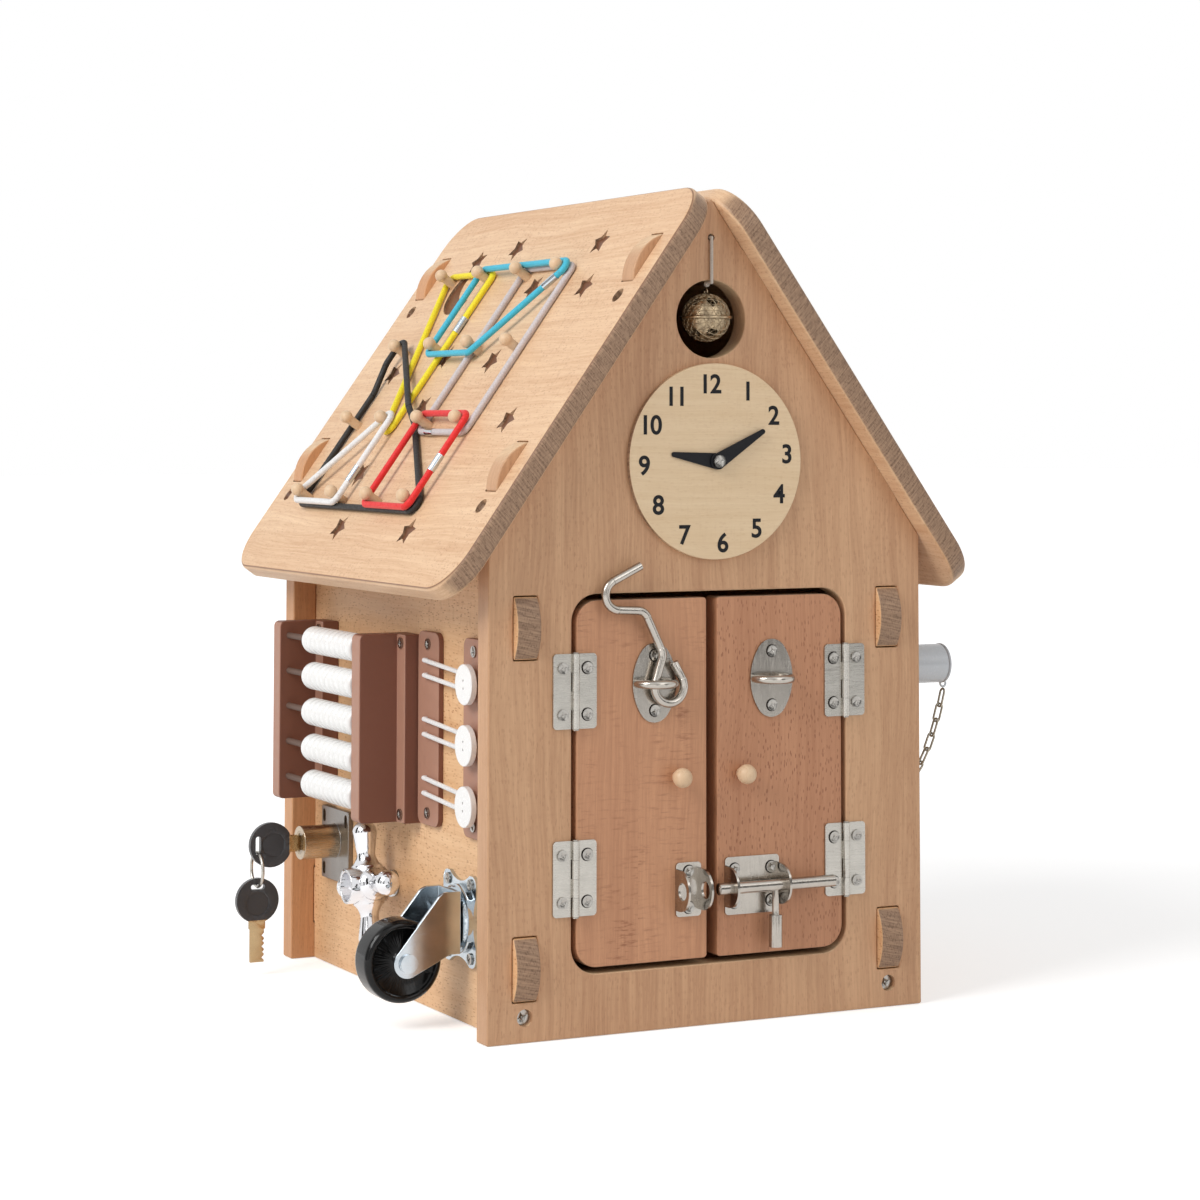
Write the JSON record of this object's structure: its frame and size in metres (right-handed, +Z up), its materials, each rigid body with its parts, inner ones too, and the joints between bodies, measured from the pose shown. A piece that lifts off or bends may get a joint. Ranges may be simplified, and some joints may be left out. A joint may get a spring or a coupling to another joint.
{
  "type": "wooden busy board",
  "caption": "Wooden house-shaped busy board with doors, clock, bell, peg roof, abacus, lacing, lock, tap, caster and drain tube.",
  "frame": {"origin": "centre of the footprint of the four walls, on the ground", "axes": "+X to the right seen from the front, +Y from the front gable to the back gable, +Z up"},
  "size_m": [0.3433, 0.3079, 0.4256],
  "materials": {
    "birch_panel": "natural birch plywood, clear matt",
    "roof_board": "natural birch plywood, clear matt",
    "door_wood": "reddish beech, clear satin",
    "light_wood": "turned beech, clear satin",
    "brown_wood": "brown stained wood, satin",
    "dark_rod": "dark stained dowel",
    "steel": "satin steel",
    "chrome": "bright zinc and chrome plate",
    "brass": "bright brass",
    "white_plastic": "white, glossy",
    "tube_plastic": "white, satin",
    "black_plastic": "black, glossy",
    "black_hand": "black, matt",
    "white_cord": "white elastic cord",
    "yellow_band": "yellow elastic",
    "blue_band": "blue elastic",
    "grey_band": "grey elastic",
    "red_band": "red elastic",
    "black_band": "black elastic",
    "white_band": "white elastic"
  },
  "bodies": {
    "house": {"front_panel": "birch_panel", "back_panel": "birch_panel", "left_panel": "birch_panel", "right_panel": "birch_panel", "floor_panel": "birch_panel", "roof_left": "roof_board", "roof_right": "roof_board", "screws": "chrome", "frame_hinge_leaves": "steel", "hinge_pins": "steel", "pegs": "light_wood", "band_yellow": "yellow_band", "band_blue": "blue_band", "band_grey": "grey_band", "band_red": "red_band", "band_black": "black_band", "band_white": "white_band", "band_crimps": "chrome", "abacus_brackets": "brown_wood", "abacus_rods": "dark_rod", "lacing_strips": "brown_wood", "buttons": "white_plastic", "cords": "white_cord", "lock_body": "chrome", "tap_spindle": "steel", "caster_plate": "chrome", "clock_face": "light_wood", "pipe_socket": "tube_plastic", "chain": "steel"},
    "left_door": {"left_door": "door_wood", "left_knob": "light_wood", "left_hinge_leaves": "steel", "left_door_screws": "chrome", "hook_plate_left": "steel", "bolt_keeper": "steel"},
    "right_door": {"right_door": "door_wood", "right_knob": "light_wood", "right_hinge_leaves": "steel", "right_door_screws": "chrome", "hook_plate_right": "steel", "bolt_base": "steel"},
    "hook": {"hook": "steel"},
    "bolt": {"bolt_rod": "steel"},
    "hour_hand": {"hour_hand": "black_hand"},
    "minute_hand": {"minute_hand": "black_hand"},
    "bell": {"bell": "brass"},
    "beads_1": {"beads_1": "white_plastic"},
    "beads_2": {"beads_2": "white_plastic"},
    "beads_3": {"beads_3": "white_plastic"},
    "beads_4": {"beads_4": "white_plastic"},
    "beads_5": {"beads_5": "white_plastic"},
    "key": {"lock_plug": "brass", "key": "black_plastic"},
    "key_ring": {"key_ring": "chrome"},
    "spare_key": {"spare_key": "black_plastic"},
    "tap_handle": {"tap_handle": "chrome"},
    "caster_fork": {"caster_fork": "chrome"},
    "caster_wheel": {"caster_wheel": "black_plastic"},
    "stopper": {"stopper": "tube_plastic"}
  },
  "joints": [
    {"name": "left_door_hinge", "type": "hinge", "parent": "house", "child": "left_door", "pos_m": [-0.0781, -0.1425, 0.124], "axis": [0, 0, -1], "range_deg": [0, 135]},
    {"name": "right_door_hinge", "type": "hinge", "parent": "house", "child": "right_door", "pos_m": [0.0781, -0.1425, 0.124], "axis": [0, 0, 1], "range_deg": [0, 135]},
    {"name": "hook_pivot", "type": "hinge", "parent": "left_door", "child": "hook", "pos_m": [-0.0273, -0.1459, 0.1708], "axis": [0, -1, 0], "range_deg": [-120, 0]},
    {"name": "bolt_slide", "type": "slide", "parent": "right_door", "child": "bolt", "axis": [1, 0, 0], "range_m": [-0.022, 0]},
    {"name": "hour_hand_pivot", "type": "hinge", "parent": "house", "child": "hour_hand", "pos_m": [0.0012, -0.1442, 0.2838], "axis": [0, 1, 0], "continuous": true},
    {"name": "minute_hand_pivot", "type": "hinge", "parent": "house", "child": "minute_hand", "pos_m": [0.0012, -0.1454, 0.2838], "axis": [0, 1, 0], "continuous": true},
    {"name": "bell_swing", "type": "hinge", "parent": "house", "child": "bell", "pos_m": [-0.0005, -0.1355, 0.3732], "axis": [1, 0, 0], "range_deg": [-25, 25]},
    {"name": "bead_row_1", "type": "slide", "parent": "house", "child": "beads_1", "axis": [0, 1, 0], "range_m": [0, 0.036]},
    {"name": "bead_row_2", "type": "slide", "parent": "house", "child": "beads_2", "axis": [0, 1, 0], "range_m": [0, 0.036]},
    {"name": "bead_row_3", "type": "slide", "parent": "house", "child": "beads_3", "axis": [0, 1, 0], "range_m": [0, 0.036]},
    {"name": "bead_row_4", "type": "slide", "parent": "house", "child": "beads_4", "axis": [0, 1, 0], "range_m": [0, 0.036]},
    {"name": "bead_row_5", "type": "slide", "parent": "house", "child": "beads_5", "axis": [0, 1, 0], "range_m": [0, 0.036]},
    {"name": "key_turn", "type": "hinge", "parent": "house", "child": "key", "pos_m": [-0.1312, 0.089, 0.0705], "axis": [1, 0, 0], "range_deg": [0, 90]},
    {"name": "key_ring_swing", "type": "hinge", "parent": "key", "child": "key_ring", "pos_m": [-0.1599, 0.089, 0.0667], "axis": [0, 1, 0], "range_deg": [-30, 30]},
    {"name": "spare_key_swing", "type": "hinge", "parent": "key_ring", "child": "spare_key", "pos_m": [-0.1599, 0.089, 0.0483], "axis": [0, 1, 0], "range_deg": [-35, 35]},
    {"name": "tap_turn", "type": "hinge", "parent": "house", "child": "tap_handle", "pos_m": [-0.1232, 0.0095, 0.0577], "axis": [1, 0, 0], "continuous": true},
    {"name": "caster_swivel", "type": "hinge", "parent": "house", "child": "caster_fork", "pos_m": [-0.1212, -0.0803, 0.0524], "axis": [1, 0, 0], "continuous": true},
    {"name": "caster_roll", "type": "hinge", "parent": "caster_fork", "child": "caster_wheel", "pos_m": [-0.1468, -0.0803, 0.0343], "axis": [0, 1, 0], "continuous": true},
    {"name": "stopper_pull", "type": "slide", "parent": "house", "child": "stopper", "axis": [1, 0, 0], "range_m": [0, 0.012]}
  ]
}
